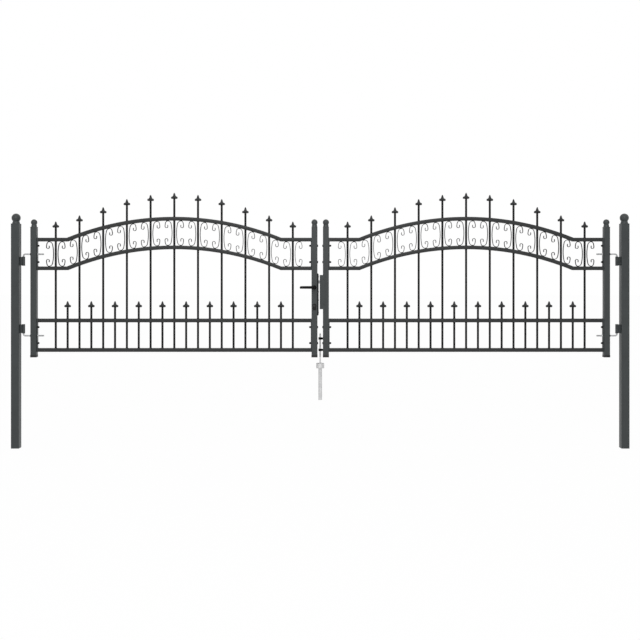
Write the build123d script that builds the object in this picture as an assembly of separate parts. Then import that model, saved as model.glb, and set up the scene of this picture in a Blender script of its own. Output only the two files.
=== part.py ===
from build123d import *
import math
import os

os.makedirs("parts", exist_ok=True)

# Double-leaf driveway gate of welded steel tube, in millimetres.
# The origin is the middle of the left post's foot, +X runs to the right post, -Y is the street side.

# Layout across the drive
clear_opening = 4051.0
hinge_gap = 74.5
meeting_gap = 37.0
ground_gap = 40.0

# Square posts, the lower part of each stands in the ground
post_side = 54.0
post_wall = 2.0
post_height = 1510.0
post_foot_thickness = 3.0

# Upright stiles at both edges of a leaf
stile_side = 40.0
stile_wall = 2.0
stile_height = 871.0
stile_drop = 26.0

# Inner radius at the rounded corners of the posts' and stiles' tube
tube_inner_corner = 1.5

# Ball caps: a square plate, a tapered neck and a ball
cap_plate_thickness = 3.0
post_ball_radius = 29.7
post_neck_foot_radius = 24.5
post_neck_radius = 21.0
post_neck_height = 18.0
stile_ball_radius = 21.0
stile_neck_foot_radius = 19.5
stile_neck_radius = 14.0
stile_neck_height = 19.0

# Rails of square tube, the upper two arched over the middle of the leaf
rail_height = 25.0
rail_depth = 25.0
bottom_rail_rise = 48.0
lower_band_height = 199.0
upper_band_height = 193.5
top_rail_drop = 78.5
arch_rise = 141.0
end_plate_thickness = 5.0

# Pickets: long ones through all four rails, short ones half-way between them
picket_count = 11
picket_sides = 6
picket_width = 12.0
end_bay = 126.25
long_picket_overshoot = 122.0
long_picket_rise = 194.0
long_picket_rise_shares = (1.0, 0.927, 0.78, 0.5, 0.215, 0.0)
short_picket_overshoot = 132.0

# Spear head: half its outline as shares of its half width and of its height
spear_width = 43.0
spear_height = 41.0
spear_thickness = 8.0
spear_outline_shares = (
    (0.3, 0.0), (0.75, 0.0), (0.97, 0.09), (1.0, 0.19), (0.9, 0.3),
    (0.5, 0.39), (0.37, 0.6), (0.27, 0.83), (0.09, 1.0),
)
spear_sunk_share = 0.2

# C-scrolls of flat bar, two to a long picket, welded between the arched rails
scroll_thickness = 3.0
scroll_depth = 12.0
scroll_offset = 15.0
scroll_reach = 45.0
scroll_lean = 12.0
scroll_size = 50.0
scroll_weld_gap = 0.3
scroll_bend_shares = ((0.48, 78.0), (0.28, 72.0), (1.7, 18.0), (0.2, 90.0), (0.18, 90.0), (0.8, 15.0))

# Hinges: a barrel on a web welded to the post, and an L-shaped bolt through the hinge stile
hinge_reach = 23.5
hinge_bolt_radius = 5.0
hinge_bolt_clearance = 0.1
hinge_bolt_bend_radius = 12.0
hinge_bolt_tail = 46.0
hinge_hole_clearance = 0.5
barrel_radius = 10.0
barrel_height = 62.0
barrel_web_thickness = 12.0
barrel_web_height = 58.0
barrel_end_gap = 4.0
upper_hinge_drop = 177.0
lower_hinge_rise = 144.0

# Lock on the left meeting stile: face plate, latch, key cylinder and levers
lock_plate_thickness = 8.0
lock_plate_depth = 38.0
lock_plate_rise = 280.0
lock_plate_height = 285.0
lock_plate_chamfer = 6.0
latch_rise = 227.0
latch_height = 22.0
latch_depth = 12.0
latch_throw = 18.5
latch_tail = 14.0
latch_clearance = 0.5
latch_nose_share = 0.55
lever_rise = 190.0
lever_length = 98.0
lever_height = 16.0
lever_thickness = 12.0
lever_stand_off = 52.0
lever_neck_radius = 9.0
lever_rose_radius = 14.0
lever_rose_thickness = 6.0
lever_tip_radius = 6.0
spindle_side = 8.0
spindle_clearance = 0.15
lever_face_gap = 0.3
cylinder_rise = 58.0
cylinder_radius = 8.5
cylinder_tail_width = 10.0
cylinder_height = 33.0
cylinder_proud = 7.0
cylinder_clearance = 0.3
escutcheon_width = 23.0
escutcheon_height = 41.0
escutcheon_thickness = 4.0
escutcheon_corner = 7.0

# Keep on the right meeting stile: a channel that wraps the stile's near half
keep_rise = 44.0
keep_height = 230.0
keep_wall = 3.0
keep_reach = 22.0
keep_wrap = 13.5
keep_slot_clearance = 0.8

# Drop bolt between the meeting stiles, its two eyes and the sleeve set in the ground
drop_rod_radius = 5.0
drop_rod_rise = 159.0
drop_rod_bend_radius = 12.0
drop_rod_handle = 70.0
drop_rod_clearance = 0.3
drop_rod_insertion = 60.0
eye_radius = 9.5
eye_height = 13.0
eye_arm_depth = 8.0
upper_eye_rise = 125.5
lower_eye_rise = 48.5
sleeve_collar_height = 34.0
sleeve_collar_radius = 27.0
sleeve_tube_radius = 12.5
sleeve_tube_height = 215.0
sleeve_bore_clearance = 0.8
sleeve_edge = 2.0

# One overrun serves every cut that goes right through
cut_overrun = 10.0

# Places that follow from the sizes above
post_face_x = post_side / 2
gate_mid_x = post_face_x + clear_opening / 2
leaf_width = (clear_opening - 2 * hinge_gap - meeting_gap) / 2
hinge_stile_x = post_face_x + hinge_gap
meeting_stile_x = hinge_stile_x + leaf_width - stile_side
panel_left_x = hinge_stile_x + stile_side
panel_mid_x = (panel_left_x + meeting_stile_x) / 2
panel_half = (meeting_stile_x - panel_left_x) / 2
picket_pitch = 2 * (panel_half - end_bay) / (picket_count - 1)
arch_half_chord = (picket_count - 2) / 2 * picket_pitch
arch_radius = (arch_half_chord**2 + arch_rise**2) / (2 * arch_rise)
stile_top_z = post_height - stile_drop
stile_foot_z = stile_top_z - stile_height
bottom_rail_z = stile_foot_z + bottom_rail_rise
lower_rail_z = bottom_rail_z + lower_band_height
top_rail_z = stile_top_z - top_rail_drop
collar_rail_z = top_rail_z - upper_band_height
upper_hinge_z = stile_top_z - upper_hinge_drop
lower_hinge_z = stile_foot_z + lower_hinge_rise
lock_plate_foot_z = stile_foot_z + lock_plate_rise
latch_z = lock_plate_foot_z + latch_rise
lever_z = lock_plate_foot_z + lever_rise
cylinder_z = lock_plate_foot_z + cylinder_rise
keep_foot_z = lock_plate_foot_z + keep_rise
sleeve_top_z = stile_foot_z - ground_gap
hinge_axis_x = post_face_x + hinge_reach
drop_rod_x = gate_mid_x
lever_x = meeting_stile_x + stile_side / 2
lock_face_x = meeting_stile_x + stile_side + lock_plate_thickness
gate_mid_plane = Plane.YZ.offset(gate_mid_x)


def block(low, high):
    """A box between two opposite corners."""
    size = [b - a for a, b in zip(low, high)]
    return Pos(*low) * Box(*size, align=(Align.MIN, Align.MIN, Align.MIN))


def bar(start, direction, radius, length):
    """A round bar from a point along a direction."""
    ends = (Align.CENTER, Align.CENTER, Align.MIN)
    return Plane(start, z_dir=direction) * Cylinder(radius, length, align=ends)


def plate_xz(outline, thickness):
    """An outline drawn in the gate's own plane, given equal thickness to both sides of it."""
    return extrude(Plane.XZ * make_face(outline), thickness / 2, both=True)


def mirrored(shape):
    """The same piece on the other side of the gate's middle."""
    return mirror(shape, about=gate_mid_plane)


def tube_outline(side, wall):
    """Outer outline of a square tube with rounded corners."""
    return RectangleRounded(side, side, tube_inner_corner + wall)


def square_tube(side, wall, height):
    """Square tube, open at both ends, standing on z = 0."""
    inner_side = side - 2 * wall
    hollow = RectangleRounded(inner_side, inner_side, tube_inner_corner)
    return extrude(tube_outline(side, wall) - hollow, height)


def post():
    """Square tube, open at the top and closed by a plate at the foot."""
    foot = extrude(tube_outline(post_side, post_wall), post_foot_thickness)
    return square_tube(post_side, post_wall, post_height) + foot


def ball_cap(side, wall, ball_radius, neck_radii, neck_height):
    """Square plate as wide as its tube, tapered neck and ball, standing on z = 0."""
    neck_foot_radius, neck_radius = neck_radii
    plate = extrude(tube_outline(side, wall), cap_plate_thickness)
    neck_top = cap_plate_thickness + neck_height
    ball_z = neck_top + math.sqrt(ball_radius**2 - neck_radius**2)
    neck = Pos(0, 0, cap_plate_thickness) * Cone(
        neck_foot_radius, neck_radius, neck_height, align=(Align.CENTER, Align.CENTER, Align.MIN)
    )
    return plate + neck + Pos(0, 0, ball_z) * Sphere(ball_radius)


def stile(near_x):
    """Square tube of a leaf, with its near face at near_x."""
    return Pos(near_x + stile_side / 2, 0, stile_foot_z) * square_tube(stile_side, stile_wall, stile_height)


def hinge_holes(near_x, length):
    """Cutters for the two hinge bolts through a wall that starts at near_x."""
    radius = hinge_bolt_radius + hinge_hole_clearance
    starts = [(near_x - cut_overrun, 0, z) for z in (upper_hinge_z, lower_hinge_z)]
    return [bar(start, (1, 0, 0), radius, length + 2 * cut_overrun) for start in starts]


def arch_height(x):
    """How far the arched rails' middle line stands above their straight ends at x."""
    offset = x - panel_mid_x
    if abs(offset) >= arch_half_chord:
        return 0.0
    return math.sqrt(arch_radius**2 - offset**2) - arch_radius + arch_rise


def arch_slope(x):
    """The arched rails' slope at x, as an angle that is positive where they rise."""
    offset = x - panel_mid_x
    return 0.0 if abs(offset) >= arch_half_chord else -math.asin(offset / arch_radius)


def arched_rail(rail_z):
    """Rail with straight ends and a circular arch between them, of even height all along."""
    left_x = panel_mid_x - panel_half
    right_x = panel_mid_x + panel_half
    edges = []
    for lift in (rail_height / 2, -rail_height / 2):
        reach = math.sqrt((arch_radius + lift) ** 2 - (arch_radius + lift - arch_rise) ** 2)
        z = rail_z + lift
        spring_left, spring_right = (panel_mid_x - reach, z), (panel_mid_x + reach, z)
        edges += [
            Line((left_x, z), spring_left),
            ThreePointArc(spring_left, (panel_mid_x, z + arch_rise), spring_right),
            Line(spring_right, (right_x, z)),
        ]
    for x in (left_x, right_x):
        edges.append(Line((x, rail_z - rail_height / 2), (x, rail_z + rail_height / 2)))
    return plate_xz(edges, rail_depth)


def straight_rail(rail_z):
    """Plain rail from one end plate to the other."""
    low = (panel_mid_x - panel_half, -rail_depth / 2, rail_z - rail_height / 2)
    high = (panel_mid_x + panel_half, rail_depth / 2, rail_z + rail_height / 2)
    return block(low, high)


def end_plate(near_x, low_rail_z, high_rail_z):
    """Flat bar that ties two rails' ends together and is bolted to the stile."""
    low = (near_x, -rail_depth / 2, low_rail_z - rail_height / 2)
    high = (near_x + end_plate_thickness, rail_depth / 2, high_rail_z + rail_height / 2)
    return block(low, high)


def spear_head(x, tip_z):
    """Flat spear with two rounded barbs, its blunt point at tip_z."""
    foot_z = tip_z - spear_height
    half = [(u * spear_width / 2, foot_z + v * spear_height) for u, v in spear_outline_shares]
    points = [(x + u, z) for u, z in half] + [(x - u, z) for u, z in reversed(half)]
    return plate_xz(Polyline(*points, close=True), spear_thickness)


def picket(x, tip_z):
    """Bar of few sides from the bottom rail up into its spear head."""
    top_z = tip_z - spear_height * (1 - spear_sunk_share)
    section = RegularPolygon(picket_width / 2, picket_sides, major_radius=False)
    return Pos(x, 0, bottom_rail_z) * extrude(section, top_z - bottom_rail_z)


def long_picket_places():
    """(x, tip height) of each long picket."""
    middle = picket_count // 2
    for n in range(-middle, middle + 1):
        tip_z = top_rail_z + long_picket_overshoot + long_picket_rise * long_picket_rise_shares[abs(n)]
        yield panel_mid_x + n * picket_pitch, tip_z


def short_picket_places():
    """(x, tip height) of each short picket."""
    for n in range(picket_count - 1):
        x = panel_mid_x + (n + 1 - picket_count / 2) * picket_pitch
        yield x, lower_rail_z + short_picket_overshoot


def panel():
    """The welded infill of a leaf: rails, end plates, pickets and spear heads."""
    pieces = [arched_rail(collar_rail_z), straight_rail(lower_rail_z), straight_rail(bottom_rail_z)]
    for near_x in (panel_left_x, meeting_stile_x - end_plate_thickness):
        pieces.append(end_plate(near_x, collar_rail_z, top_rail_z))
        pieces.append(end_plate(near_x, bottom_rail_z, lower_rail_z))
    for x, tip_z in [*long_picket_places(), *short_picket_places()]:
        pieces += [picket(x, tip_z), spear_head(x, tip_z)]
    welded = arched_rail(top_rail_z) + pieces
    return welded - hinge_holes(panel_left_x, end_plate_thickness)


def scroll_edge(lift, side, way, rise):
    """One edge of half a scroll as tangent arcs, from the middle of its bowed back; way is 1 upwards."""
    bends = [(rise / math.sin(math.radians(scroll_lean)), scroll_lean)]
    bends += [(share * scroll_size, turn) for share, turn in scroll_bend_shares]
    start, heading, arcs = (-side * lift, 0), (0, way), []
    for radius, turn in bends:
        arc = JernArc(start, heading, radius + lift, -side * way * turn)
        arcs.append(arc)
        start, heading = arc @ 1, arc % 1
    return arcs


def scroll(picket_x, side):
    """C-scroll beside a long picket, its back bowed to the picket and its curls against both rails."""
    half = scroll_thickness / 2
    crown_x = side * (scroll_reach - scroll_offset)
    slope = arch_slope(picket_x + side * scroll_reach)
    room = (top_rail_z - collar_rail_z) / 2 * math.cos(slope) - rail_height / 2 - scroll_weld_gap
    bow = side * math.tan(math.radians(scroll_lean / 2)) * math.sin(slope)
    outline = []
    for way in (1, -1):
        leaned = Rot(0, 0, -math.degrees(slope)) * Curve(scroll_edge(half, side, way, 0))
        reach = max(way * corner.Y for corner in (leaned.bounding_box().min, leaned.bounding_box().max))
        rise = (room - reach - way * crown_x * math.sin(slope)) / (math.cos(slope) - way * bow)
        tips = []
        for lift in (half, -half):
            edge = scroll_edge(lift, side, way, rise)
            outline += edge
            tips.append(edge[-1] @ 1)
        outline.append(Line(*tips))
    mid_z = (top_rail_z + collar_rail_z) / 2 + arch_height(picket_x + side * scroll_reach)
    return Pos(picket_x + side * scroll_offset, 0, mid_z) * plate_xz(outline, scroll_depth)


def scrolls():
    """All the C-scrolls of a leaf, one on each side of every long picket."""
    return Compound([scroll(x, side) for x, _ in long_picket_places() for side in (-1, 1)])


def hinge_bracket(bend_z, way):
    """Barrel and web on the post's inner face; way is 1 if the barrel stands above the bolt's bend."""
    near_z = bend_z + way * (hinge_bolt_bend_radius + barrel_end_gap)
    mid_z = near_z + way * barrel_height / 2
    barrel = bar((hinge_axis_x, 0, mid_z - barrel_height / 2), (0, 0, 1), barrel_radius, barrel_height)
    web_half, web_rise = barrel_web_thickness / 2, barrel_web_height / 2
    web = block((post_face_x, -web_half, mid_z - web_rise), (hinge_axis_x, web_half, mid_z + web_rise))
    bore_foot = (hinge_axis_x, 0, mid_z - barrel_height / 2 - cut_overrun)
    bore_radius = hinge_bolt_radius + hinge_bolt_clearance
    return barrel + web - bar(bore_foot, (0, 0, 1), bore_radius, barrel_height + 2 * cut_overrun)


def bent_rod(radius, bend_radius, points):
    """Round rod through three points, bent at the middle one."""
    path = FilletPolyline(*points, radius=bend_radius)
    section = Plane(path @ 0, z_dir=path % 0) * Circle(radius)
    return sweep(section, path=path)


def hinge_bolt(bend_z, way):
    """L-shaped bolt: one leg in the barrel, the other through the hinge stile."""
    leg_end_z = bend_z + way * (hinge_bolt_bend_radius + barrel_end_gap + barrel_height)
    tail_x = panel_left_x + hinge_bolt_tail
    points = ((hinge_axis_x, 0, leg_end_z), (hinge_axis_x, 0, bend_z), (tail_x, 0, bend_z))
    return bent_rod(hinge_bolt_radius, hinge_bolt_bend_radius, points)


def lock_plate():
    """Face plate of the lock with chamfered ends and a slot for the latch."""
    near_x = meeting_stile_x + stile_side
    half = lock_plate_depth / 2
    top_z = lock_plate_foot_z + lock_plate_height
    plate = block((near_x, -half, lock_plate_foot_z), (lock_face_x, half, top_z))
    outer = plate.faces().sort_by(Axis.X)[-1].edges()
    ends = outer.filter_by(Axis.Y)
    return chamfer(ends, lock_plate_chamfer) - latch_slot(near_x, lock_plate_thickness, latch_clearance)


def latch_slot(near_x, length, clearance):
    """Cutter that lets the latch through a wall that starts at near_x."""
    half_y = latch_depth / 2 + clearance
    half_z = latch_height / 2 + clearance
    low = (near_x - cut_overrun, -half_y, latch_z - half_z)
    return block(low, (near_x + length + cut_overrun, half_y, latch_z + half_z))


def latch_bolt():
    """Latch tongue, slanted at its nose, that slides through the lock's face plate."""
    half = latch_depth / 2
    nose_x = lock_face_x + latch_throw
    slant = latch_nose_share * latch_throw
    outline = Polyline(
        (lock_face_x - lock_plate_thickness - latch_tail, -half),
        (nose_x, -half),
        (nose_x - slant, half),
        (lock_face_x - lock_plate_thickness - latch_tail, half),
        close=True,
    )
    tongue = extrude(make_face(outline), latch_height)
    return Pos(0, 0, latch_z - latch_height / 2) * tongue


def cylinder_profile(clearance):
    """Key cylinder's outline in the gate's plane: a round barrel with a narrower tail below it."""
    barrel_z = cylinder_z + cylinder_height / 2 - cylinder_radius
    tail_half = cylinder_tail_width / 2 + clearance
    tail_z = cylinder_z - cylinder_height / 2 + cylinder_tail_width / 2
    barrel = Pos(lever_x, barrel_z) * Circle(cylinder_radius + clearance)
    tail = Pos(lever_x, (barrel_z + tail_z) / 2) * Rectangle(2 * tail_half, barrel_z - tail_z)
    return barrel + tail + Pos(lever_x, tail_z) * Circle(tail_half)


def lock_cylinder():
    """Key cylinder that passes through the stile and stands a little proud on both sides."""
    return extrude(Plane.XZ * cylinder_profile(0.0), stile_side / 2 + cylinder_proud, both=True)


def escutcheon(way):
    """Rounded plate around the key cylinder on one face of the stile."""
    plate = RectangleRounded(escutcheon_width, escutcheon_height, escutcheon_corner)
    ring = Pos(lever_x, cylinder_z) * plate - cylinder_profile(cylinder_clearance)
    return Pos(0, way * (stile_side + escutcheon_thickness) / 2, 0) * extrude(
        Plane.XZ * ring, escutcheon_thickness / 2, both=True
    )


def spindle():
    """Square bar through the stile that carries a lever at each end."""
    reach = stile_side / 2 + lever_face_gap + lever_rose_thickness + lever_neck_radius
    half = spindle_side / 2
    return block((lever_x - half, -reach, lever_z - half), (lever_x + half, reach, lever_z + half))


def lever(way):
    """Lever handle on one side: a rose, a neck and an arm that points to the hinges."""
    face_y = way * (stile_side / 2 + lever_face_gap)
    out = (0, way, 0)
    rose = bar((lever_x, face_y, lever_z), out, lever_rose_radius, lever_rose_thickness)
    neck = bar((lever_x, face_y, lever_z), out, lever_neck_radius, lever_stand_off)
    arm_y = face_y + way * (lever_stand_off - lever_thickness / 2)
    low = (lever_x - lever_length, arm_y - lever_thickness / 2, lever_z - lever_height / 2)
    high = (lever_x, arm_y + lever_thickness / 2, lever_z + lever_height / 2)
    arm = block(low, high)
    tip = arm.faces().sort_by(Axis.X)[0].edges().filter_by(Axis.Y)
    arm = fillet(tip, lever_tip_radius)
    half = spindle_side / 2 + spindle_clearance
    reach = lever_rose_thickness + lever_neck_radius + spindle_clearance
    inner_y, outer_y = sorted((face_y - way * cut_overrun, face_y + way * reach))
    socket = block((lever_x - half, inner_y, lever_z - half), (lever_x + half, outer_y, lever_z + half))
    return rose + neck + arm - socket


def meeting_stile():
    """Left meeting stile with its openings for the latch, the spindle and the key cylinder."""
    spindle_hole = bar((lever_x, -stile_side, lever_z), (0, 1, 0), spindle_side, 2 * stile_side)
    key_hole = extrude(Plane.XZ * cylinder_profile(cylinder_clearance), stile_side, both=True)
    latch_hole = latch_slot(lever_x, stile_side / 2, latch_clearance)
    return stile(meeting_stile_x) - spindle_hole - key_hole - latch_hole


def lock_keep():
    """Channel that wraps the right meeting stile's near half, with a slot for the latch."""
    stile_x = 2 * gate_mid_x - meeting_stile_x - stile_side
    web_x = stile_x - keep_reach
    half = stile_side / 2
    top_z = keep_foot_z + keep_height
    low, high = (web_x, -half - keep_wall, keep_foot_z), (stile_x + keep_wrap, half + keep_wall, top_z)
    hollow_low = (web_x + keep_wall, -half, keep_foot_z - cut_overrun)
    hollow_high = (stile_x + keep_wrap + cut_overrun, half, top_z + cut_overrun)
    channel = block(low, high) - block(hollow_low, hollow_high)
    half_y = latch_depth / 2 + keep_slot_clearance
    half_z = latch_height / 2 + keep_slot_clearance
    slot_low = (web_x - cut_overrun, -half_y, latch_z - half_z)
    slot_high = (web_x + keep_wall + latch_throw / 2, half_y, latch_z + half_z)
    return channel - block(slot_low, slot_high)


def drop_rod():
    """Drop bolt: a round rod with its top bent back as a handle and its foot in the ground sleeve."""
    foot_z = sleeve_top_z - drop_rod_insertion
    bend_z = stile_foot_z + drop_rod_rise - drop_rod_radius
    points = ((drop_rod_x, 0, foot_z), (drop_rod_x, 0, bend_z), (drop_rod_x, drop_rod_handle, bend_z))
    return bent_rod(drop_rod_radius, drop_rod_bend_radius, points)


def drop_rod_eye(eye_rise):
    """Eye on an arm from the right meeting stile that guides the drop bolt."""
    eye_z = stile_foot_z + eye_rise
    stile_x = 2 * gate_mid_x - meeting_stile_x - stile_side
    foot = (drop_rod_x, 0, eye_z - eye_height / 2)
    ring = bar(foot, (0, 0, 1), eye_radius, eye_height)
    low = (drop_rod_x, -eye_arm_depth / 2, eye_z - eye_height / 2)
    arm = block(low, (stile_x, eye_arm_depth / 2, eye_z + eye_height / 2))
    bore_foot = (drop_rod_x, 0, eye_z - eye_height / 2 - cut_overrun)
    bore = bar(bore_foot, (0, 0, 1), drop_rod_radius + drop_rod_clearance, eye_height + 2 * cut_overrun)
    return ring + arm - bore


def ground_sleeve():
    """Sleeve set in the ground for the drop bolt: a collar on a closed tube."""
    collar_z = sleeve_top_z - sleeve_collar_height
    foot_z = collar_z - sleeve_tube_height
    collar = bar((drop_rod_x, 0, collar_z), (0, 0, 1), sleeve_collar_radius, sleeve_collar_height)
    collar = chamfer(collar.faces().sort_by(Axis.Z)[-1].edges(), sleeve_edge)
    tube = bar((drop_rod_x, 0, foot_z), (0, 0, 1), sleeve_tube_radius, sleeve_tube_height)
    bore_radius = drop_rod_radius + sleeve_bore_clearance
    bore_foot_z = sleeve_top_z - drop_rod_insertion - sleeve_collar_height
    bore_height = sleeve_top_z - bore_foot_z + cut_overrun
    bore = bar((drop_rod_x, 0, bore_foot_z), (0, 0, 1), bore_radius, bore_height)
    return collar + tube - bore


def leaf_pieces():
    """The pieces that both leaves have alike, as built for the left leaf."""
    neck_radii = (stile_neck_foot_radius, stile_neck_radius)
    cap = ball_cap(stile_side, stile_wall, stile_ball_radius, neck_radii, stile_neck_height)
    cap_places = [(hinge_stile_x + stile_side / 2, 0, stile_top_z), (lever_x, 0, stile_top_z)]
    return {
        "hinge_stile": stile(hinge_stile_x) - hinge_holes(hinge_stile_x, stile_side),
        "leaf_caps": Compound([Pos(*place) * cap for place in cap_places]),
        "panel": panel(),
        "scrolls": scrolls(),
        "upper_hinge_bolt": hinge_bolt(upper_hinge_z, -1),
        "lower_hinge_bolt": hinge_bolt(lower_hinge_z, 1),
    }


def post_pieces():
    """The pieces that both posts have alike, as built for the left post."""
    return {
        "post": post(),
        "upper_hinge_bracket": hinge_bracket(upper_hinge_z, -1),
        "lower_hinge_bracket": hinge_bracket(lower_hinge_z, 1),
    }


nodes = {}
for name, shape in {**post_pieces(), **leaf_pieces()}.items():
    nodes["left_" + name] = shape
    nodes["right_" + name] = mirrored(shape)
post_neck_radii = (post_neck_foot_radius, post_neck_radius)
post_cap = ball_cap(post_side, post_wall, post_ball_radius, post_neck_radii, post_neck_height)
left_post_cap = Pos(0, 0, post_height) * post_cap
nodes["post_caps"] = Compound([left_post_cap, mirrored(left_post_cap)])
nodes["left_meeting_stile"] = meeting_stile()
nodes["right_meeting_stile"] = mirrored(stile(meeting_stile_x))
nodes["lock_plate"] = lock_plate()
nodes["latch_bolt"] = latch_bolt()
nodes["lock_cylinder"] = lock_cylinder()
nodes["key_escutcheons"] = Compound([escutcheon(-1), escutcheon(1)])
nodes["lever_spindle"] = spindle()
nodes["front_lever"] = lever(-1)
nodes["back_lever"] = lever(1)
nodes["lock_keep"] = lock_keep()
nodes["drop_bolt_rod"] = drop_rod()
nodes["drop_bolt_eyes"] = Compound([drop_rod_eye(upper_eye_rise), drop_rod_eye(lower_eye_rise)])
nodes["ground_sleeve"] = ground_sleeve()

for name, shape in nodes.items():
    export_step(shape, f"parts/{name}.step")
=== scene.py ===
import bmesh
import bpy
import math
from mathutils import Matrix, Vector


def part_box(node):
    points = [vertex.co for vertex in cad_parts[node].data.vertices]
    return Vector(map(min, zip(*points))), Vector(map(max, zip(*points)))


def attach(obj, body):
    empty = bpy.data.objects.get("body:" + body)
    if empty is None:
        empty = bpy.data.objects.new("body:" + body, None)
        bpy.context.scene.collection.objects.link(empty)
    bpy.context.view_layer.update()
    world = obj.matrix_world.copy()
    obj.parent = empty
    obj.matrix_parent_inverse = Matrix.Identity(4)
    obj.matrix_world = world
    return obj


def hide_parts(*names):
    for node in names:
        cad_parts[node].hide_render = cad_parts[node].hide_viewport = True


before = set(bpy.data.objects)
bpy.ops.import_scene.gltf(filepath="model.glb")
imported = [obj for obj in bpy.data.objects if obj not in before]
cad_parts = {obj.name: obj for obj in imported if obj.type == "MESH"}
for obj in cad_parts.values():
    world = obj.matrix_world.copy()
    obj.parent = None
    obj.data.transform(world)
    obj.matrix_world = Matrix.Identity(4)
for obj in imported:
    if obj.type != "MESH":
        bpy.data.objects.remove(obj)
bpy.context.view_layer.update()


# Posts. Two square steel tubes with a welded foot plate, galvanised and powder coated in anthracite.
# The lower part stands in the ground. The coat has a fine orange peel, and dust lies on what faces up.
def add(tree, kind, sockets, **settings):
    """Adds a shader node; a socket that is given another node's output is linked to it."""
    node = tree.nodes.new("ShaderNode" + kind)
    for name, value in settings.items():
        setattr(node, name, value)
    for name, value in sockets.items():
        if isinstance(value, bpy.types.NodeSocket):
            tree.links.new(value, node.inputs[name])
        else:
            node.inputs[name].default_value = value
    return node


def noise(tree, place, scale, detail, roughness=0.5):
    """Cloudy noise that stays put on a piece."""
    sockets = {"Vector": place, "Scale": scale, "Detail": detail, "Roughness": roughness}
    return add(tree, "TexNoise", sockets).outputs[0]


def remap(tree, value, source, target):
    """Stretches a value from its source range to the target range."""
    sockets = dict(zip(("From Min", "From Max", "To Min", "To Max"), (*source, *target)))
    return add(tree, "MapRange", {"Value": value, **sockets}).outputs[0]


def calc(tree, operation, first, second):
    """Combines two values by a sum, a product or the like."""
    return add(tree, "Math", {0: first, 1: second}, operation=operation).outputs[0]


def mix(tree, share, first, second, way="MIX"):
    """Lays a share of a second colour over a first one, or multiplies by it."""
    return add(tree, "Mix", {0: share, 6: first, 7: second}, data_type="RGBA", blend_type=way).outputs[2]


def effect(name, inputs, outputs):
    """Starts a shader node group with named inputs and outputs."""
    tree = bpy.data.node_groups.new(name, "ShaderNodeTree")
    for way, sockets in (("INPUT", inputs), ("OUTPUT", outputs)):
        for socket, kind in sockets.items():
            tree.interface.new_socket(socket, in_out=way, socket_type="NodeSocket" + kind)
    return tree, tree.nodes.new("NodeGroupInput").outputs, tree.nodes.new("NodeGroupOutput").inputs


coat_skin, skin_in, skin_out = effect(
    "coat_skin",
    {"Colour": "Color", "Dust": "Color", "Roughness": "Float"},
    {"Colour": "Color", "Roughness": "Float", "Peel": "Float"},
)
cloud_range = (0.3, 0.7)
place = add(coat_skin, "TexCoord", {}).outputs["Object"]
peel = noise(coat_skin, place, scale=650.0, detail=2.0)
cloud = noise(coat_skin, place, scale=6.0, detail=5.0, roughness=0.62)
specks = noise(coat_skin, place, scale=90.0, detail=6.0, roughness=0.7)
shade = remap(coat_skin, cloud, cloud_range, (0.84, 1.16))
toned = mix(coat_skin, 1.0, skin_in["Colour"], shade, "MULTIPLY")
normal = add(coat_skin, "NewGeometry", {}).outputs["Normal"]
up = add(coat_skin, "SeparateXYZ", {0: normal}).outputs["Z"]
settled = remap(coat_skin, up, (0.35, 1.0), (0.0, 0.55))
dusty = calc(coat_skin, "MULTIPLY", settled, specks)
dusted = mix(coat_skin, dusty, toned, skin_in["Dust"])
patch = remap(coat_skin, cloud, cloud_range, (-0.06, 0.06))
rough = calc(coat_skin, "ADD", skin_in["Roughness"], patch)
for name, source in (("Colour", dusted), ("Roughness", rough), ("Peel", peel)):
    coat_skin.links.new(source, skin_out[name])


def skinned(name, group, sockets, relief, strength, depth):
    """A material with a skin's colour and roughness, and one of the skin's outputs as its relief."""
    material = bpy.data.materials.new(name)
    material.use_nodes = True
    tree = material.node_tree
    skin = add(tree, "Group", sockets, node_tree=group).outputs
    bump = add(tree, "Bump", {"Height": skin[relief], "Strength": strength, "Distance": depth}).outputs[0]
    surface = tree.nodes["Principled BSDF"].inputs
    for socket, source in (("Base Color", skin["Colour"]), ("Roughness", skin["Roughness"]), ("Normal", bump)):
        tree.links.new(source, surface[socket])
    return material, surface


def coated(name, colour, dust, roughness, gloss, peel_depth):
    """A coat in one shade: gloss is its specular level, peel_depth the height of its orange peel."""
    sockets = {"Colour": (*colour, 1.0), "Dust": (*dust, 1.0), "Roughness": roughness}
    material, surface = skinned(name, coat_skin, sockets, relief="Peel", strength=0.35, depth=peel_depth)
    surface["Specular IOR Level"].default_value = gloss
    return material


def dress(material, *nodes):
    """Gives CAD nodes their finish."""
    for name in nodes:
        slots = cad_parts[name].data.materials
        slots.clear()
        slots.append(material)


anthracite = coated(
    "anthracite_coat", colour=(0.0275, 0.0330, 0.0338), dust=(0.16, 0.155, 0.145),
    roughness=0.44, gloss=0.48, peel_depth=0.0003,
)
posts = ("left_post", "right_post")
dress(anthracite, *posts)


# Post caps. A pressed square plate that closes the tube, with a turned neck and a hollow ball welded on it.
# They are coated with the posts, so the ball's seam shows only as a shallow groove above the neck.
def middle_x(name):
    """Middle of a CAD node along the gate."""
    low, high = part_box(name)
    return (low.x + high.x) / 2


def everything(mesh):
    """All of a shape, as the operators take it."""
    return mesh.verts[:] + mesh.edges[:] + mesh.faces[:]


def corners(parts):
    """The vertices among an operator's results."""
    return [part for part in parts if isinstance(part, bmesh.types.BMVert)]


def drawn(points):
    """A line of edges in the XZ plane through (radius, height) points, and its last vertex."""
    mesh = bmesh.new()
    end = [mesh.verts.new((points[0][0], 0.0, points[0][1]))]
    for radius, height in points[1:]:
        end = bmesh.ops.extrude_vert_indiv(mesh, verts=end)["verts"]
        end[0].co = (radius, 0.0, height)
    return mesh, end[0]


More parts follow.
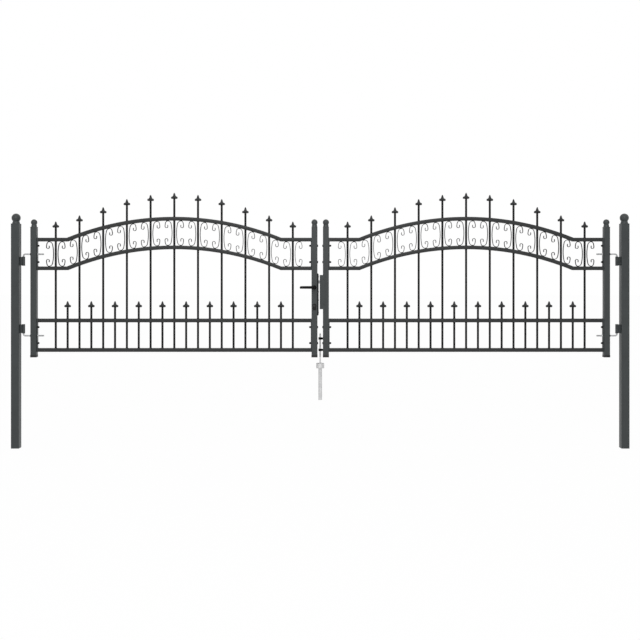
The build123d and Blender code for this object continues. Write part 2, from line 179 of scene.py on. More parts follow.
def turned(mesh, steps):
    """Spins a drawn outline about the Z axis and closes its seam and poles."""
    bmesh.ops.spin(
        mesh, geom=everything(mesh), cent=(0, 0, 0), axis=(0, 0, 1), angle=2 * math.pi, steps=steps,
        use_merge=True,
    )
    bmesh.ops.remove_doubles(mesh, verts=mesh.verts, dist=1e-6)
    return mesh


def bevel(mesh, edges, offset, segments=2):
    """Rounds the given edges."""
    bmesh.ops.bevel(
        mesh, geom=edges, offset=offset, segments=segments, profile=0.5, affect="EDGES", material=-1
    )


def bar(low, high, edge, segments=2):
    """A bar between two corners, with all its edges rounded."""
    mesh = bmesh.new()
    size, middle = Vector(high) - Vector(low), (Vector(high) + Vector(low)) / 2
    bmesh.ops.create_cube(mesh, size=1.0, matrix=Matrix.Translation(middle) @ Matrix.Diagonal((*size, 1.0)))
    bevel(mesh, mesh.edges[:], edge, segments)
    return mesh


def joined(*meshes):
    """Puts several shapes into one."""
    whole = bmesh.new()
    for mesh in meshes:
        data = bpy.data.meshes.new("part")
        mesh.to_mesh(data)
        mesh.free()
        whole.from_mesh(data)
        bpy.data.meshes.remove(data)
    return whole


def repeat(mesh, places):
    """Sets copies of a shape at each of the places."""
    shape, first = everything(mesh), mesh.verts[:]
    for matrix in places[1:]:
        copy = bmesh.ops.duplicate(mesh, geom=shape)["geom"]
        bmesh.ops.transform(mesh, matrix=matrix, verts=corners(copy))
    bmesh.ops.transform(mesh, matrix=places[0], verts=first)
    return mesh


def piece(name, mesh, body, material):
    """Finishes a shape as a piece that moves with a body."""
    bmesh.ops.recalc_face_normals(mesh, faces=mesh.faces)
    data = bpy.data.meshes.new(name)
    mesh.to_mesh(data)
    mesh.free()
    data.materials.append(material)
    data.shade_smooth()
    data.set_sharp_from_angle(angle=math.radians(35))
    made = bpy.data.objects.new(name, data)
    bpy.context.scene.collection.objects.link(made)
    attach(made, body)
    return made


# Points on the neck's flare, as shares of the flare's width and of the neck's height.
cap_flare = ((0.74, 0.24), (0.46, 0.52), (0.12, 0.86))
seam_depth, seam_drop = 0.0006, 0.0008


def ball_cap(side, plate, neck_foot, neck_top, neck_height, ball_radius):
    """Square plate, flared neck and ball; neck_foot and neck_top are the neck's radii at its ends."""
    seam_z = plate + neck_height
    ball_z = seam_z + math.sqrt(ball_radius**2 - neck_top**2)
    flare = [
        (neck_top + width * (neck_foot - neck_top), plate + height * neck_height) for width, height in cap_flare
    ]
    groove = [(neck_top - seam_depth, seam_z - seam_drop), (neck_top, seam_z)]
    outline, rim = drawn([(0.0, plate), (neck_foot, plate)] + flare + groove)
    sweep = math.asin(neck_top / ball_radius) - math.pi
    bmesh.ops.spin(outline, geom=[rim], cent=(0, 0, ball_z), axis=(0, 1, 0), angle=sweep, steps=22)
    square = bar((-side / 2, -side / 2, 0), (side / 2, side / 2, plate), edge=0.001)
    return joined(turned(outline, 48), square)


post_low, post_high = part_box("left_post")
caps = repeat(
    ball_cap(
        side=post_high.x - post_low.x, plate=0.003, neck_foot=0.0266, neck_top=0.0213,
        neck_height=0.0183, ball_radius=0.0297,
    ),
    [Matrix.Translation((middle_x(name), 0, post_high.z)) for name in posts],
)
post_caps = piece("post_ball_caps", caps, "posts", anthracite)
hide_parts("post_caps")


# Hinge brackets. A bored barrel on a thick web, welded to the inner face of each post at two heights.
# A bead of short ripples runs down both sides of the web, and all is coated over.
def weld_run(mesh, start, end, ripple, count):
    """Adds a row of overlapping weld ripples from start to end."""
    for n in range(count):
        spot = Vector(start).lerp(Vector(end), n / (count - 1))
        place = Matrix.Translation(spot) @ Matrix.Diagonal((*ripple, 1.0))
        bmesh.ops.create_uvsphere(mesh, u_segments=8, v_segments=6, radius=1.0, matrix=place)


sides = ("left", "right")
brackets = [f"{side}_{level}_hinge_bracket" for side in sides for level in ("upper", "lower")]
dress(anthracite, *brackets)
bead_y, bead_inset = 0.0068, 0.006
beads = bmesh.new()
for name in brackets:
    low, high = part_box(name)
    face_x = low.x if name.startswith("left") else high.x
    for y in (-bead_y, bead_y):
        foot, head = (face_x, y, low.z + bead_inset), (face_x, y, high.z - bead_inset)
        weld_run(beads, foot, head, ripple=(0.0026, 0.0026, 0.003), count=13)
piece("bracket_welds", beads, "posts", anthracite)


# Ground sleeve. A turned collar on a closed tube, hot-dip galvanised and set in the drive for the drop bolt.
# The zinc has set in a spangle of small dull and bright crystals.
sheen, sheen_in, sheen_out = effect(
    "zinc_sheen",
    {"Colour": "Color", "Stain": "Color", "Roughness": "Float", "Scale": "Float"},
    {"Colour": "Color", "Roughness": "Float", "Pits": "Float"},
)
place = add(sheen, "TexCoord", {}).outputs["Object"]
clouds = noise(sheen, place, scale=sheen_in["Scale"], detail=6.0)
pits = noise(sheen, place, scale=1100.0, detail=3.0)
stained = remap(sheen, clouds, (0.42, 0.72), (0.0, 0.8))
colour = mix(sheen, stained, sheen_in["Colour"], sheen_in["Stain"])
dulled = remap(sheen, clouds, cloud_range, (-0.08, 0.14))
rough = calc(sheen, "ADD", sheen_in["Roughness"], dulled)
for name, source in (("Colour", colour), ("Roughness", rough), ("Pits", pits)):
    sheen.links.new(source, sheen_out[name])


def zinced(name, colour, stain, roughness, scale):
    """Bare zinc: a bright colour, the stain that clouds it, and the clouds' scale."""
    sockets = {"Colour": (*colour, 1.0), "Stain": (*stain, 1.0), "Roughness": roughness, "Scale": scale}
    material, surface = skinned(name, sheen, sockets, relief="Pits", strength=0.2, depth=0.0002)
    surface["Metallic"].default_value = 1.0
    return material


galvanised = zinced(
    "galvanised_zinc", colour=(0.64, 0.64, 0.64), stain=(0.54, 0.54, 0.544), roughness=0.52, scale=30.0
)
tree = galvanised.node_tree
base = tree.nodes["Principled BSDF"].inputs["Base Color"]
place = add(tree, "TexCoord", {}).outputs["Object"]
crystals = add(tree, "TexVoronoi", {"Vector": place, "Scale": 260.0, "Randomness": 1.0}).outputs["Color"]
crystal = add(tree, "SeparateColor", {0: crystals}).outputs[0]
facet = remap(tree, crystal, (0.0, 1.0), (0.90, 1.08))
spangle = mix(tree, 1.0, base.links[0].from_socket, facet, "MULTIPLY")
tree.links.new(spangle, base)
dress(galvanised, "ground_sleeve")


# Stiles. Square tubes at both edges of a leaf, cut and punched before they are coated.
# Each foot is closed by a black plastic cap that is pushed over the tube.
plastic = coated(
    "black_plastic", colour=(0.008, 0.008, 0.0085), dust=(0.03, 0.03, 0.03),
    roughness=0.5, gloss=0.4, peel_depth=0.0002,
)
foot_proud, foot_height, foot_edge = 0.0006, 0.016, 0.0012
stiles = {side: [f"{side}_hinge_stile", f"{side}_meeting_stile"] for side in sides}
for side in sides:
    dress(anthracite, *stiles[side])
    feet = []
    for name in stiles[side]:
        low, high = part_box(name)
        over = Vector((high.x + foot_proud, high.y + foot_proud, low.z + foot_height))
        feet.append(bar(low - Vector((foot_proud, foot_proud, foot_proud)), over, foot_edge))
    piece(f"{side}_stile_feet", joined(*feet), f"{side}_leaf", plastic)


# Stile caps. Smaller ball caps of the same make as the posts', welded on the stiles' open tops.
# They are coated with the leaf.
for side in sides:
    tops = [Matrix.Translation((middle_x(name), 0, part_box(name)[1].z)) for name in stiles[side]]
    cap = ball_cap(
        side=0.040, plate=0.007, neck_foot=0.0194, neck_top=0.0163, neck_height=0.0174, ball_radius=0.021
    )
    made = piece(f"{side}_ball_caps", repeat(cap, tops), f"{side}_leaf", anthracite)
    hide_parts(f"{side}_leaf_caps")


# Rails and end plates. Four square tubes a leaf, the upper two rolled to an arch between straight ends.
# Flat bars tie the rails' ends together in pairs, with a weld all round each rail.
rail_coat = coated(
    "rail_coat", colour=(0.0165, 0.0178, 0.0182), dust=(0.12, 0.117, 0.11),
    roughness=0.46, gloss=0.36, peel_depth=0.0003,
)
rail_side, rail_edge = 0.025, 0.002
rail_half = rail_side / 2
rail_weld_width, rail_weld_rise, rail_weld_edge = 0.0032, 0.0012, 0.0015
plate_thickness, plate_edge = 0.005, 0.0008
arch_rise, arch_half_chord = 0.141, 0.720
arch_radius = (arch_half_chord**2 + arch_rise**2) / (2 * arch_rise)
panel_low, panel_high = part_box("left_panel")
panel_half = (panel_high.x - panel_low.x) / 2
rail_end = panel_half - plate_thickness
bottom_z = panel_low.z + rail_half
lower_z, collar_z, top_z = bottom_z + 0.199, bottom_z + 0.551, bottom_z + 0.7445
panel_place = {side: Matrix.Translation((middle_x(f"{side}_panel"), 0, 0)) for side in sides}


def arched_rail(rail_z):
    """Rail about x = 0: an arch spun from its crown, cut at the mitre and drawn out to its end."""
    mesh = bmesh.new()
    crown = Matrix.Translation((0, 0, rail_z + arch_rise)) @ Matrix.Rotation(math.pi / 2, 4, "Y")
    corner_turn = Matrix.Rotation(math.pi / 4, 4, "Z")
    bmesh.ops.create_circle(mesh, radius=rail_half * math.sqrt(2), segments=4, matrix=crown @ corner_turn)
    past_spring = math.asin((arch_half_chord + rail_side) / arch_radius)
    centre = (0, 0, rail_z + arch_rise - arch_radius)
    bmesh.ops.spin(mesh, geom=everything(mesh), cent=centre, axis=(0, 1, 0), angle=past_spring, steps=36)
    springs = []
    for lift in (-rail_half, rail_half):
        outer = arch_radius + lift
        springs.append(Vector((math.sqrt(outer**2 - (outer - arch_rise) ** 2), 0, rail_z + lift)))
    mitre = springs[1] - springs[0]
    bmesh.ops.bisect_plane(
        mesh, geom=everything(mesh), plane_co=springs[0], plane_no=(mitre.z, 0, -mitre.x), clear_outer=True
    )
    cut = [e for e in mesh.edges if e.is_boundary and e.verts[0].co.x > arch_half_chord / 2]
    for corner in corners(bmesh.ops.extrude_edge_only(mesh, edges=cut)["geom"]):
        corner.co.x = rail_end
    mesh.normal_update()
    square = [e for e in mesh.edges if e.is_manifold and e.calc_face_angle() > math.pi / 3]
    bevel(mesh, square, rail_edge)
    bmesh.ops.mirror(mesh, geom=everything(mesh), matrix=Matrix.Identity(4), merge_dist=1e-5, axis="X")
    bmesh.ops.holes_fill(mesh, edges=[e for e in mesh.edges if e.is_boundary], sides=0)
    return mesh


for side in sides:
    leaf, centre = f"{side}_leaf", [panel_place[side]]
    for name, rail_z in (("top", top_z), ("collar", collar_z)):
        made = piece(f"{side}_{name}_rail", repeat(arched_rail(rail_z), centre), leaf, rail_coat)
        if name == "top":
            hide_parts(f"{side}_panel")
    for name, rail_z in (("lower", lower_z), ("bottom", bottom_z)):
        foot, head = (-rail_end, -rail_half, rail_z - rail_half), (rail_end, rail_half, rail_z + rail_half)
        rail = repeat(bar(foot, head, rail_edge), centre)
        piece(f"{side}_{name}_rail", rail, leaf, rail_coat)
    fittings = []
    for way in (-1, 1):
        near, far = sorted((way * rail_end, way * panel_half))
        for low_z, high_z in ((collar_z, top_z), (bottom_z, lower_z)):
            foot, head = (near, -rail_half, low_z - rail_half), (far, rail_half, high_z + rail_half)
            fittings.append(bar(foot, head, plate_edge))
        near, far = sorted((way * rail_end, way * (rail_end - rail_weld_width)))
        reach = rail_half + rail_weld_rise
        for rail_z in (bottom_z, lower_z, collar_z, top_z):
            fittings.append(bar((near, -reach, rail_z - reach), (far, reach, rail_z + reach), rail_weld_edge))
    piece(f"{side}_end_plates", repeat(joined(*fittings), centre), leaf, anthracite)


# Pickets. Round steel bars through punched holes in the rails, each held by a small ring of weld.
# Eleven long ones rise above the arch, and ten short ones between them end above the lower rail.
picket_coat = coated(
    "picket_coat", colour=(0.0120, 0.0127, 0.0129), dust=(0.05, 0.049, 0.047),
    roughness=0.6, gloss=0.09, peel_depth=0.00006,
)
picket_radius, picket_pitch = 0.0072, 0.160
spear_height, spear_bare_share = 0.041, 0.8
long_overshoot, short_overshoot = 0.122, 0.130
long_rises = (0.194, 0.1798, 0.1513, 0.097, 0.0417, 0.0)
long_pickets = [(n * picket_pitch, top_z + long_overshoot + long_rises[abs(n)]) for n in range(-5, 6)]
short_pickets = [((n - 4.5) * picket_pitch, lower_z + short_overshoot) for n in range(10)]
pickets = long_pickets + short_pickets
weld_ring = ((0.0069, 0.0026), (0.0084, 0.0018), (0.0098, -0.0004), (0.0069, -0.0016), (0.0069, 0.0026))


def arch_at(x):
    """Height and slope of the arched rails at x, measured from their straight ends."""
    if abs(x) >= arch_half_chord:
        return 0.0, 0.0
    return math.sqrt(arch_radius**2 - x**2) - arch_radius + arch_rise, -math.asin(x / arch_radius)


def on_rail(x, rail_z, face, arched):
    """Place on a rail's upper (face 1) or lower (face -1) side at x, square to that side."""
    lift, slope = arch_at(x) if arched else (0.0, 0.0)
    z = rail_z + lift + face * rail_half / math.cos(slope)
    place = Matrix.Translation((x, 0, z)) @ Matrix.Rotation(-slope, 4, "Y")
    return place if face == 1 else place @ Matrix.Rotation(math.pi, 4, "X")


rings = []
for x, _ in pickets:
    rings += [on_rail(x, bottom_z, 1, False), on_rail(x, lower_z, 1, False), on_rail(x, lower_z, -1, False)]
for x, _ in long_pickets:
    rings += [on_rail(x, rail_z, face, True) for rail_z in (collar_z, top_z) for face in (1, -1)]
for side in sides:
    bars = bmesh.new()
    for x, tip_z in pickets:
        height = tip_z - spear_bare_share * spear_height - bottom_z
        bmesh.ops.create_cone(
            bars, cap_ends=True, segments=16, radius1=picket_radius, radius2=picket_radius, depth=height,
            matrix=Matrix.Translation((x, 0, bottom_z + height / 2)),
        )
    piece(f"{side}_pickets", repeat(bars, [panel_place[side]]), f"{side}_leaf", picket_coat)
    bead, _ = drawn(weld_ring)
    beads = repeat(turned(bead, 12), [panel_place[side] @ ring for ring in rings])
    piece(f"{side}_picket_welds", beads, f"{side}_leaf", picket_coat)


# Spear heads. Small castings with two rounded barbs and a blunt point, welded on the pickets' ends.
# Both faces are crowned, and the picket's end is sunk in the socket below the barbs.
spear_half = (
    (0.0155, 0.0), (0.0196, 0.0014), (0.0218, 0.0044), (0.0222, 0.0080), (0.0213, 0.0120), (0.0182, 0.0150),
    (0.0124, 0.0168), (0.0092, 0.0200), (0.0078, 0.0252), (0.0060, 0.0318), (0.0036, 0.0376), (0.0014, 0.0410),
)
spear_depth, spear_crown = 0.0056, 0.0012


def spear_head():
    """A head on z = 0: half its outline mirrored, filled, thickened and crowned on both faces."""
    head, _ = drawn(spear_half)
    bmesh.ops.mirror(head, geom=everything(head), matrix=Matrix.Identity(4), merge_dist=1e-6, axis="X")
    bmesh.ops.bridge_loops(head, edges=head.edges[:])
    bmesh.ops.translate(head, vec=(0, -spear_depth / 2, 0), verts=head.verts)
    back = bmesh.ops.extrude_face_region(head, geom=head.faces[:])["geom"]
    bmesh.ops.translate(head, vec=(0, spear_depth, 0), verts=corners(back))
    bmesh.ops.recalc_face_normals(head, faces=head.faces)
    for way in (-1, 1):
        flat = [face for face in head.faces if face.normal.y * way > 0.9]
        bmesh.ops.inset_region(head, faces=flat, thickness=spear_crown, depth=spear_crown, use_even_offset=True)
    return head


for side in sides:
    tops = [panel_place[side] @ Matrix.Translation((x, 0, tip_z - spear_height)) for x, tip_z in pickets]
    piece(f"{side}_spear_heads", repeat(spear_head(), tops), f"{side}_leaf", rail_coat)


# Scrolls. C-scrolls of flat bar, bent cold on a jig and set in pairs beside every long picket.
# Each half rises until its crown meets the arched rail there, and a lump of weld holds it.
scroll_thickness, scroll_depth, scroll_edge = 0.0034, 0.012, 0.0006
scroll_offset, scroll_reach = 0.015, 0.045
scroll_lean = math.radians(12)
scroll_gap = 0.0003
scroll_lump = (0.0082, 0.0068, 0.0048)
curl_bends = [
    (0.024, math.radians(78)), (0.014, math.radians(72)), (0.085, math.radians(18)),
    (0.010, math.radians(90)), (0.009, math.radians(90)), (0.040, math.radians(15)),
]
bend_step = 0.2


def bent_to(bends, turn):
    """Where a run of (radius, turn) bends leads from straight up, once it has turned that far."""
    x, z, heading = 0.0, 0.0, 0.0
    for radius, bend in bends:
        reached = min(heading + bend, turn)
        x += radius * (math.cos(heading) - math.cos(reached))
        z += radius * (math.sin(reached) - math.sin(heading))
        heading = reached
    return Vector((x, 0.0, z))


def half_scroll(bends):
    """Half a scroll from the middle of its back: a flat bar bent over each radius in turn."""
    mesh = bmesh.new()
    section = Matrix.Diagonal((scroll_thickness, scroll_depth, 1.0, 1.0))
    bmesh.ops.create_grid(mesh, x_segments=1, y_segments=1, size=0.5, matrix=section)
    bmesh.ops.bevel(
        mesh, geom=mesh.verts[:], offset=scroll_edge, segments=1, profile=0.5, affect="VERTICES", material=-1
    )
    bmesh.ops.delete(mesh, geom=mesh.faces[:], context="FACES_ONLY")
    end, at, heading = everything(mesh), Vector((0, 0, 0)), 0.0
    for radius, bend in bends:
        centre = at + radius * Vector((math.cos(heading), 0, -math.sin(heading)))
        steps = max(4, round(bend / bend_step))
        spun = bmesh.ops.spin(mesh, geom=end, cent=centre, axis=(0, 1, 0), angle=bend, steps=steps)
        end = spun["geom_last"]
        heading += bend
        at = centre - radius * Vector((math.cos(heading), 0, -math.sin(heading)))
    bmesh.ops.edgeloop_fill(mesh, edges=[part for part in end if isinstance(part, bmesh.types.BMEdge)])
    return mesh


band_middle, band_half = (top_z + collar_z) / 2, (top_z - collar_z) / 2
for side in sides:
    halves, lumps = [], bmesh.new()
    for picket_x, _ in long_pickets:
        for way_x in (-1, 1):
            lift, slope = arch_at(picket_x + way_x * scroll_reach)
            back_x = picket_x + way_x * scroll_offset
            back = panel_place[side] @ Matrix.Translation((back_x, 0, band_middle + lift))
            for way_z in (-1, 1):
                lean = way_x * way_z * slope
                across = Vector((-math.sin(lean), 0, math.cos(lean)))
                room = across.dot(Vector((scroll_reach - scroll_offset, 0, band_half))) - rail_half
                curl = across.dot(bent_to([(0.0, scroll_lean)] + curl_bends, math.pi / 2 - lean))
                rise = room - scroll_gap - scroll_thickness / 2 - curl
                rise /= across.dot(Vector((math.tan(scroll_lean / 2), 0, 1.0)))
                bends = [(rise / math.sin(scroll_lean), scroll_lean)] + curl_bends
                place = back @ Matrix.Diagonal((way_x, 1.0, way_z, 1.0))
                halves.append(repeat(half_scroll(bends), [place]))
                crown = bent_to(bends, math.pi / 2 - lean) + across * scroll_thickness / 2
                lump = place @ Matrix.Translation(crown) @ Matrix.Rotation(-lean, 4, "Y")
                lump = lump @ Matrix.Diagonal((*scroll_lump, 1.0))
                bmesh.ops.create_uvsphere(lumps, u_segments=12, v_segments=8, radius=1.0, matrix=lump)
    bars = joined(*halves)
    bmesh.ops.remove_doubles(bars, verts=bars.verts, dist=1e-6)
    made = piece(f"{side}_c_scrolls", bars, f"{side}_leaf", picket_coat)
    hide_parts(f"{side}_scrolls")
    piece(f"{side}_scroll_welds", lumps, f"{side}_leaf", picket_coat)


# Panel bolts. Four bolts a stile pass through the tube and the panel's end plates.
# A low domed head shows on the stile's outer face, a washer and a blackened cap nut on the panel's side.
enamel = coated(
    "black_enamel", colour=(0.0015, 0.0015, 0.0016), dust=(0.006, 0.006, 0.006),
    roughness=0.5, gloss=0.05, peel_depth=0.0001,
)
panel_bolt_z = (0.707, 0.815, 1.254, 1.364)
washer_thickness = 0.0016
dome_radius, dome_z, dome_share = 0.0060, 0.0070, 0.8
# Turns that point a fastening along the gate, to the left (-1) or to the right (1).
to_side = {way: Matrix.Rotation(way * math.pi / 2, 4, "Y") for way in (-1, 1)}


def nut_on_washer(across, height, edge, washer_radius):
    """A plain washer on z = 0 with a hexagon nut standing on it, both with eased edges."""
    rim = washer_thickness / 3
    outline, _ = drawn((
        (0.0, 0.0), (washer_radius - rim, 0.0), (washer_radius, rim), (washer_radius, washer_thickness - rim),
        (washer_radius - rim, washer_thickness), (0.0, washer_thickness),
    ))
    nut = bmesh.new()
    radius, up = across / math.sqrt(3), Matrix.Translation((0, 0, washer_thickness + height / 2))
    bmesh.ops.create_cone(
        nut, cap_ends=True, segments=6, radius1=radius, radius2=radius, depth=height, matrix=up
    )
    bevel(nut, nut.edges[:], edge)
    return joined(turned(outline, 24), nut)


def cap_nut():
    """Washer, hexagon and dome of a cap nut, standing on z = 0."""
    dome, rim = drawn(((0.0, 0.0), (dome_radius, 0.0)))
    bmesh.ops.spin(dome, geom=[rim], cent=(0, 0, 0), axis=(0, 1, 0), angle=-math.pi / 2, steps=8)
    flatter = Matrix.Translation((0, 0, dome_z)) @ Matrix.Diagonal((1.0, 1.0, dome_share, 1.0))
    bmesh.ops.transform(dome, matrix=flatter, verts=dome.verts)
    nut = nut_on_washer(across=0.013, height=0.0058, edge=0.0006, washer_radius=0.0078)
    return joined(nut, turned(dome, 20))


def domed_head(radius, height):
    """A low domed bolt head on z = 0."""
    outline, _ = drawn((
        (0.0, 0.0), (radius, 0.0), (radius, 0.25 * height), (0.94 * radius, 0.5 * height),
        (0.72 * radius, 0.8 * height), (0.38 * radius, 0.96 * height), (0.0, height),
    ))
    return turned(outline, 20)


for side in sides:
    panel_low, panel_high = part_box(f"{side}_panel")
    nuts, heads = [], []
    for name in stiles[side]:
        low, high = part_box(name)
        inward = 1 if low.x < panel_low.x else -1
        nut_x = panel_low.x + plate_thickness if inward == 1 else panel_high.x - plate_thickness
        head_x = low.x if inward == 1 else high.x
        for z in panel_bolt_z:
            nuts.append(Matrix.Translation((nut_x, 0, z)) @ to_side[inward])
            heads.append(Matrix.Translation((head_x, 0, z)) @ to_side[-inward])
    fastenings = joined(repeat(cap_nut(), nuts), repeat(domed_head(radius=0.0085, height=0.0048), heads))
    piece(f"{side}_panel_bolts", fastenings, f"{side}_leaf", enamel)


# Hinge bolts. Zinc-plated rods bent to an L, one leg in the bracket's barrel and the other through the stile.
# The straight leg is threaded, and a nut on each side of the stile sets how far the leaf stands off.
zinc = zinced("zinc_plate", colour=(0.46, 0.465, 0.47), stain=(0.34, 0.34, 0.345), roughness=0.38, scale=55.0)
bright_zinc = zinced(
    "bright_zinc", colour=(0.63, 0.632, 0.635), stain=(0.52, 0.522, 0.525), roughness=0.25, scale=40.0
)
bolt_radius = 0.005
thread_pitch, thread_steps = 0.0015, 12
thread_start, thread_bare_end = 0.001, 0.002
thread_ridge = ((0.0049, -0.0007), (0.0054, 0.0), (0.0049, 0.0007), (0.0049, -0.0007))


def thread(turns):
    """A closed ridge wound along +Z from z = 0."""
    ridge, _ = drawn(thread_ridge)
    bmesh.ops.remove_doubles(ridge, verts=ridge.verts, dist=1e-6)
    bmesh.ops.spin(
        ridge, geom=everything(ridge), cent=(0, 0, 0), axis=(0, 0, 1), dvec=(0, 0, thread_pitch / thread_steps),
        angle=2 * math.pi * turns, steps=turns * thread_steps,
    )
    bmesh.ops.holes_fill(ridge, edges=[e for e in ridge.edges if e.is_boundary], sides=0)
    return ridge


for side, inward in zip(sides, (1, -1)):
    bolts = [f"{side}_upper_hinge_bolt", f"{side}_lower_hinge_bolt"]
    dress(zinc, *bolts)
    stile_low, stile_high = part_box(f"{side}_hinge_stile")
    outer_x, inner_x = (stile_low.x, stile_high.x) if side == "left" else (stile_high.x, stile_low.x)
    nut_x = inner_x + inward * plate_thickness
    outer_nuts, inner_nuts, threads = [], [], []
    for level, name in zip(("upper", "lower"), bolts):
        low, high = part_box(name)
        z = high.z - bolt_radius if level == "upper" else low.z + bolt_radius
        tail_x = high.x if side == "left" else low.x
        outer_nuts.append(Matrix.Translation((outer_x, 0, z)) @ to_side[-inward])
        inner_nuts.append(Matrix.Translation((nut_x, 0, z)) @ to_side[inward])
        turns = round((abs(tail_x - nut_x) - thread_bare_end) / thread_pitch)
        place = Matrix.Translation((nut_x + inward * thread_start, 0, z)) @ to_side[inward]
        threads.append(repeat(thread(turns), [place]))
    for name, nuts, finish, slot in (
        ("outer", outer_nuts, enamel, "black_enamel"), ("inner", inner_nuts, bright_zinc, "zinc_plate")
    ):
        nut = nut_on_washer(across=0.015, height=0.0048, edge=0.0008, washer_radius=0.0095)
        piece(f"{side}_{name}_hinge_nuts", repeat(nut, nuts), f"{side}_leaf", finish)
    piece(f"{side}_hinge_threads", joined(*threads), f"{side}_leaf", zinc)


# Lock. A steel face plate on the left meeting stile's edge, held by four socket screws, with a sprung latch.
# The key cylinder passes through the stile, and a moulded escutcheon rings it on both faces.
dress(picket_coat, "lock_plate")
dress(zinc, "latch_bolt", "lever_spindle")
moulded = coated(
    "moulded_black", colour=(0.0058, 0.0058, 0.0060), dust=(0.02, 0.02, 0.02),
    roughness=0.45, gloss=0.22, peel_depth=0.0002,
)
dress(moulded, "key_escutcheons", "lock_cylinder")
# Turns that point a fitting out of the gate, to the street side (-1) or to the drive side (1).
to_face = {way: Matrix.Rotation(-way * math.pi / 2, 4, "X") for way in (-1, 1)}


def socket_screw(radius, height):
    """A low screw head on z = 0 with a socket sunk in it."""
    mesh = bmesh.new()
    up = Matrix.Translation((0, 0, height / 2))
    bmesh.ops.create_cone(
        mesh, cap_ends=True, segments=24, radius1=radius, radius2=0.86 * radius, depth=height, matrix=up
    )
    top = max(mesh.faces, key=lambda face: face.calc_center_median().z)
    bmesh.ops.inset_region(mesh, faces=[top], thickness=0.45 * radius)
    bmesh.ops.inset_region(mesh, faces=[top], thickness=0.0002, depth=-0.6 * height)
    return mesh


plate_low, plate_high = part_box("lock_plate")
screw_margin, inner_screw_rises = 0.022, (0.105, 0.160)
screw_z = [plate_low.z + rise for rise in (screw_margin, *inner_screw_rises)] + [plate_high.z - screw_margin]
screws = repeat(
    socket_screw(radius=0.0052, height=0.0014),
    [Matrix.Translation((plate_high.x, 0, z)) @ to_side[1] for z in screw_z],
)
piece("lock_plate_screws", screws, "left_leaf", zinc)

burnished = zinced(
    "burnished_brass", colour=(0.050, 0.050, 0.052), stain=(0.028, 0.028, 0.030), roughness=0.40, scale=70.0
)
plug_radius, plug_depth, plug_proud = 0.0066, 0.0046, 0.0006
key_slot_half, key_slot_depth = (0.0009, 0.0044), 0.0040
cylinder_radius = 0.0085
plug = bmesh.new()
bmesh.ops.create_circle(plug, radius=plug_radius, segments=24)
rim = plug.edges[:]
bmesh.ops.create_circle(plug, radius=1.0, segments=24, matrix=Matrix.Diagonal((*key_slot_half, 1.0, 1.0)))
key_slot = [edge for edge in plug.edges if edge not in rim]
bmesh.ops.bridge_loops(plug, edges=plug.edges[:])
for edges, depth in ((key_slot, key_slot_depth), (rim, plug_depth)):
    sunk = corners(bmesh.ops.extrude_edge_only(plug, edges=edges)["geom"])
    bmesh.ops.translate(plug, vec=(0, 0, -depth), verts=sunk)
    mouth = [edge for edge in plug.edges if edge.is_boundary and edge.verts[0] in sunk]
    bmesh.ops.holes_fill(plug, edges=mouth, sides=0)
cylinder_low, cylinder_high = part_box("lock_cylinder")
plug_x, plug_z = middle_x("lock_cylinder"), cylinder_high.z - cylinder_radius
plug_places = [
    Matrix.Translation((plug_x, cylinder_low.y - plug_proud, plug_z)) @ to_face[-1],
    Matrix.Translation((plug_x, cylinder_high.y + plug_proud, plug_z)) @ to_face[1],
]
piece("key_plugs", repeat(plug, plug_places), "left_leaf", burnished)


# Levers. A pair of black nylon mouldings on the square spindle, one on each face of the stile.
# A turned rose and neck carry a flattened arm that points to the hinges and thins towards its rounded tip.
nylon = coated(
    "black_nylon", colour=(0.0026, 0.0026, 0.0027), dust=(0.010, 0.010, 0.010),
    roughness=0.42, gloss=0.10, peel_depth=0.0001,
)
rose_radius = 0.014
lever_half, lever_thickness, lever_edge = 0.008, 0.012, 0.0048
lever_root_swell, lever_tip_narrowing, lever_tip_thinning = 1.04, 0.1, 0.2
for name, way in (("front_lever", -1), ("back_lever", 1)):
    low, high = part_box(name)
    rose_x, rose_z = high.x - rose_radius, (low.z + high.z) / 2
    face_y, end_y = (high.y, low.y) if way == -1 else (low.y, high.y)
    stand_off = abs(end_y - face_y)
    outline, _ = drawn((
        (0.0, 0.0), (0.0134, 0.0), (rose_radius, 0.0008), (rose_radius, 0.0040), (0.0126, 0.0056),
        (0.0100, 0.0064), (0.0088, 0.0090), (0.0082, 0.0180), (0.0080, 0.0360), (0.0086, stand_off - 0.0080),
        (0.0086, stand_off - 0.0016), (0.0070, stand_off), (0.0, stand_off),
    ))
    neck = repeat(turned(outline, 32), [Matrix.Translation((rose_x, face_y, rose_z)) @ to_face[way]])
    near_y, far_y = sorted((end_y, end_y - way * lever_thickness))
    foot, head = (low.x, near_y, rose_z - lever_half), (rose_x, far_y, rose_z + lever_half)
    arm = bar(foot, head, lever_edge, segments=4)
    for corner in arm.verts:
        share = (rose_x - corner.co.x) / (rose_x - low.x)
        corner.co.z = rose_z + (corner.co.z - rose_z) * (lever_root_swell - lever_tip_narrowing * share)
        corner.co.y = end_y + (corner.co.y - end_y) * (1.0 - lever_tip_thinning * share)
    made = piece(name + "_handle", joined(neck, arm), "handle", nylon)
    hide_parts(name)


# Keep. A bent channel that wraps the right meeting stile's near half and takes the latch in its slot.
# Two socket screws a side hold it, and it is coated with the stile.
dress(anthracite, "lock_keep")
keep_low, keep_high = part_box("lock_keep")
keep_screw_inset, keep_screw_margin = 0.0068, 0.030
keep_places = []
for way, face_y in ((-1, keep_low.y), (1, keep_high.y)):
    for z in (keep_low.z + keep_screw_margin, keep_high.z - keep_screw_margin):
        keep_places.append(Matrix.Translation((keep_high.x - keep_screw_inset, face_y, z)) @ to_face[way])
screws = repeat(socket_screw(radius=0.0046, height=0.0016), keep_places)
piece("keep_screws", screws, "right_leaf", anthracite)


